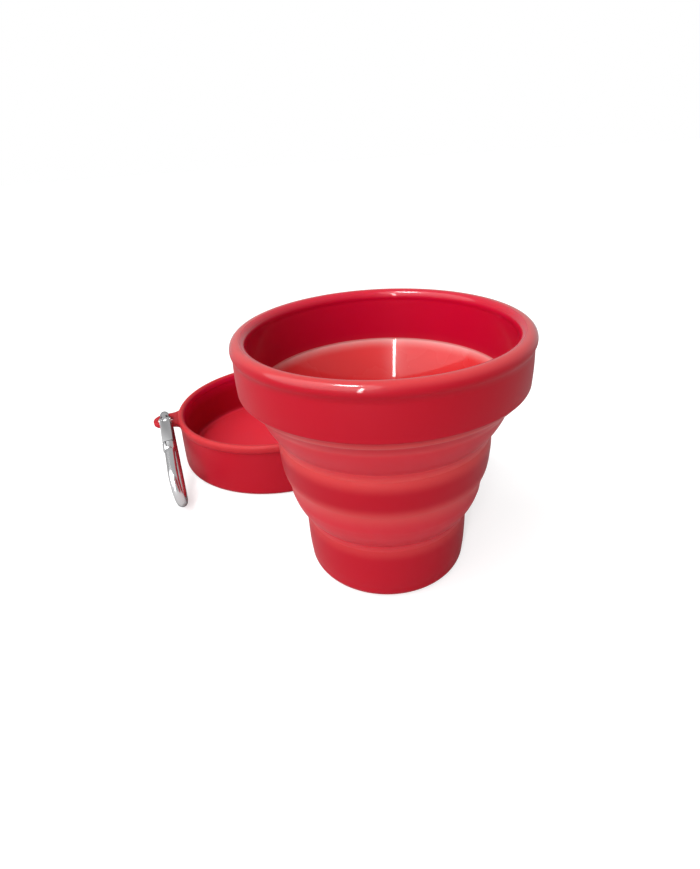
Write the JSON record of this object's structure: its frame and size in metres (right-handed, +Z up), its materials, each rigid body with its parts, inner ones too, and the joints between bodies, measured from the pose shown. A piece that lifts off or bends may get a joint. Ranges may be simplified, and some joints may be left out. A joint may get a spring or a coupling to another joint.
{
  "type": "collapsible travel cup",
  "caption": "Open collapsible silicone cup with two folding webs, its round press-on lid with a hang tab, and a small spring-gate carabiner hooked through the tab.",
  "frame": {"origin": "centre of the cup's flat underside, on the table", "axes": "+Z up along the cup's axis; the lid lies behind and to the left of the cup (-X, +Y); the front is -Y"},
  "size_m": [0.1441, 0.1614, 0.0794],
  "materials": {
    "silicone_thick": "satin, slightly translucent",
    "silicone_thin": "satin, more translucent where it is thin",
    "lid_silicone": "satin, slightly translucent",
    "clip_aluminium": "polished",
    "gate_aluminium": "brushed, satin",
    "rivet_steel": "smooth",
    "spring_steel": "drawn wire"
  },
  "bodies": {
    "base": {"base_cup": "silicone_thick", "lower_web": "silicone_thin"},
    "ring": {"middle_ring": "silicone_thick", "upper_web": "silicone_thin"},
    "rim": {"rim_band": "silicone_thick"},
    "lid": {"lid_dish": "lid_silicone", "hang_tab": "lid_silicone"},
    "carabiner": {"carabiner_body": "clip_aluminium", "gate_rivet": "rivet_steel"},
    "gate": {"carabiner_gate": "gate_aluminium", "gate_spring": "spring_steel", "spring_plunger": "rivet_steel"}
  },
  "joints": [
    {"name": "lower_fold", "type": "slide", "parent": "base", "child": "ring", "axis": [0, 0, -1], "range_m": [0, 0.031], "deforming": ["lower_web"]},
    {"name": "upper_fold", "type": "slide", "parent": "ring", "child": "rim", "axis": [0, 0, -1], "range_m": [0, 0.028], "deforming": ["upper_web"]},
    {"name": "lid_lift", "type": "slide", "parent": "base", "child": "lid", "axis": [0, 0, 1], "range_m": [0, 0.1]},
    {"name": "carabiner_swing", "type": "hinge", "parent": "lid", "child": "carabiner", "pos_m": [-0.09483, 0.0551, 0.021], "axis": [0.9301, 0.3628, 0.0574], "range_deg": [-115, 85]},
    {"name": "gate_swing", "type": "hinge", "parent": "carabiner", "child": "gate", "pos_m": [-0.09379, 0.05189, 0.02447], "axis": [0.9301, 0.3628, 0.0574], "range_deg": [0, 24], "stiffness_Nm_per_rad": 0.02, "springref_deg": -20.05}
  ]
}
